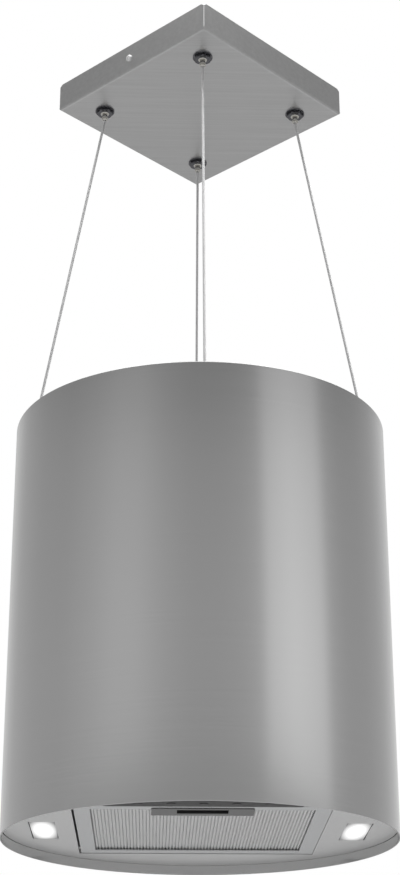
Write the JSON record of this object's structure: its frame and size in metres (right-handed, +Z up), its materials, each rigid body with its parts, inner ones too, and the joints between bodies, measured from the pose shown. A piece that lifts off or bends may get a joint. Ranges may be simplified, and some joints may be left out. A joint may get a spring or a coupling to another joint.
{
  "type": "island range hood",
  "caption": "Round steel drum island hood that hangs on wire ropes from a square ceiling cover, with lamps, a control strip and a hinged grease filter underneath.",
  "frame": {"origin": "middle of the face that lies on the ceiling", "axes": "+Z up, towards the ceiling; the control strip is on the -Y side, where the cook stands; the ceiling cover's corners point along X and Y"},
  "size_m": [0.39, 0.39, 0.872],
  "materials": {
    "cover_steel": "satin brushed",
    "drum_steel": "satin brushed",
    "seam_strip_steel": "mill",
    "zinc_plate": "zinc plated",
    "screw_steel": "polished",
    "black_nickel": "black nickel plated",
    "nickel": "nickel plated",
    "wire_rope": "stranded stainless",
    "gland_plastic": "moulded",
    "bush_rubber": "moulded",
    "fan_plastic": "moulded",
    "shaft_steel": "ground",
    "motor_alloy": "die cast",
    "charcoal_plastic": "moulded",
    "board_green": "laminate",
    "can_alloy": "drawn",
    "panel_steel": "satin brushed",
    "lamp_tray": "black enamel",
    "lamp_lens": "frosted",
    "diode_board": "laminate",
    "fascia_gloss": "gloss",
    "button_metal": "satin chrome",
    "filter_alloy": "anodised",
    "mesh_alloy": "expanded, layered",
    "handle_steel": "satin brushed",
    "latch_plastic": "moulded"
  },
  "bodies": {
    "ceiling": {"ceiling_cover": "cover_steel", "ceiling_bracket": "zinc_plate", "cover_screws": "screw_steel", "gripper_barrels": "nickel", "gripper_washers": "black_nickel", "gripper_nuts": "black_nickel", "gripper_locknuts": "nickel", "rope_left": "wire_rope", "rope_right": "wire_rope", "rope_front": "wire_rope", "rope_rear": "wire_rope", "rope_tails": "wire_rope"},
    "hood": {"shell": "drum_steel", "seam_strip": "seam_strip_steel", "shell_tabs": "seam_strip_steel", "support_ring": "zinc_plate", "top_cover": "zinc_plate", "chassis_posts": "zinc_plate", "blower_rails": "zinc_plate", "blower_cradle": "zinc_plate", "scroll_casing": "zinc_plate", "outlet_duct": "zinc_plate", "motor_bracket": "zinc_plate", "control_box": "zinc_plate", "control_box_lid": "zinc_plate", "top_cover_screws": "screw_steel", "rim_screws": "screw_steel", "panel_nuts": "screw_steel", "rope_anchors": "nickel", "anchor_nuts": "nickel", "cable_gland": "gland_plastic", "rubber_mounts": "bush_rubber", "motor_bearings": "shaft_steel", "filter_pins": "shaft_steel", "motor_housing": "motor_alloy", "carbon_filters": "charcoal_plastic", "control_board": "board_green", "button_board": "board_green", "capacitor": "can_alloy", "bottom_panel": "panel_steel", "lamp_housings": "lamp_tray", "lamp_lenses": "lamp_lens", "led_boards": "diode_board", "control_fascia": "fascia_gloss"},
    "rotor": {"impeller": "fan_plastic", "motor_shaft": "shaft_steel"},
    "filter": {"filter_frame": "filter_alloy", "filter_mesh": "mesh_alloy", "filter_core": "mesh_alloy", "filter_handle": "handle_steel"},
    "latch": {"filter_latch": "latch_plastic"},
    "plunger_left": {"gripper_plunger_left": "nickel"},
    "plunger_right": {"gripper_plunger_right": "nickel"},
    "plunger_front": {"gripper_plunger_front": "nickel"},
    "plunger_rear": {"gripper_plunger_rear": "nickel"},
    "button_1_body": {"button_1": "button_metal"},
    "button_2_body": {"button_2": "button_metal"},
    "button_3_body": {"button_3": "button_metal"},
    "button_4_body": {"button_4": "button_metal"},
    "button_5_body": {"button_5": "button_metal"}
  },
  "joints": [
    {"name": "height_adjust", "type": "slide", "parent": "ceiling", "child": "hood", "axis": [0, 0, 1], "range_m": [0, 0.25], "deforming": ["rope_left", "rope_right", "rope_front", "rope_rear"]},
    {"name": "fan_spin", "type": "hinge", "parent": "hood", "child": "rotor", "pos_m": [0, -0.062, -0.65], "axis": [1, 0, 0], "continuous": true},
    {"name": "filter_hinge", "type": "hinge", "parent": "hood", "child": "filter", "pos_m": [0, 0.114, -0.857], "axis": [1, 0, 0], "range_deg": [0, 80]},
    {"name": "latch_slide", "type": "slide", "parent": "filter", "child": "latch", "axis": [0, 1, 0], "range_m": [0, 0.006], "stiffness_N_per_m": 300, "springref_m": -0.003},
    {"name": "plunger_left_press", "type": "slide", "parent": "ceiling", "child": "plunger_left", "axis": [0, 0, 1], "range_m": [0, 0.002], "stiffness_N_per_m": 600, "springref_m": -0.002},
    {"name": "plunger_right_press", "type": "slide", "parent": "ceiling", "child": "plunger_right", "axis": [0, 0, 1], "range_m": [0, 0.002], "stiffness_N_per_m": 600, "springref_m": -0.002},
    {"name": "plunger_front_press", "type": "slide", "parent": "ceiling", "child": "plunger_front", "axis": [0, 0, 1], "range_m": [0, 0.002], "stiffness_N_per_m": 600, "springref_m": -0.002},
    {"name": "plunger_rear_press", "type": "slide", "parent": "ceiling", "child": "plunger_rear", "axis": [0, 0, 1], "range_m": [0, 0.002], "stiffness_N_per_m": 600, "springref_m": -0.002},
    {"name": "button_1_press", "type": "slide", "parent": "hood", "child": "button_1_body", "axis": [0, 0, 1], "range_m": [0, 0.0015], "stiffness_N_per_m": 400, "springref_m": -0.003},
    {"name": "button_2_press", "type": "slide", "parent": "hood", "child": "button_2_body", "axis": [0, 0, 1], "range_m": [0, 0.0015], "stiffness_N_per_m": 400, "springref_m": -0.003},
    {"name": "button_3_press", "type": "slide", "parent": "hood", "child": "button_3_body", "axis": [0, 0, 1], "range_m": [0, 0.0015], "stiffness_N_per_m": 400, "springref_m": -0.003},
    {"name": "button_4_press", "type": "slide", "parent": "hood", "child": "button_4_body", "axis": [0, 0, 1], "range_m": [0, 0.0015], "stiffness_N_per_m": 400, "springref_m": -0.003},
    {"name": "button_5_press", "type": "slide", "parent": "hood", "child": "button_5_body", "axis": [0, 0, 1], "range_m": [0, 0.0015], "stiffness_N_per_m": 400, "springref_m": -0.003}
  ]
}
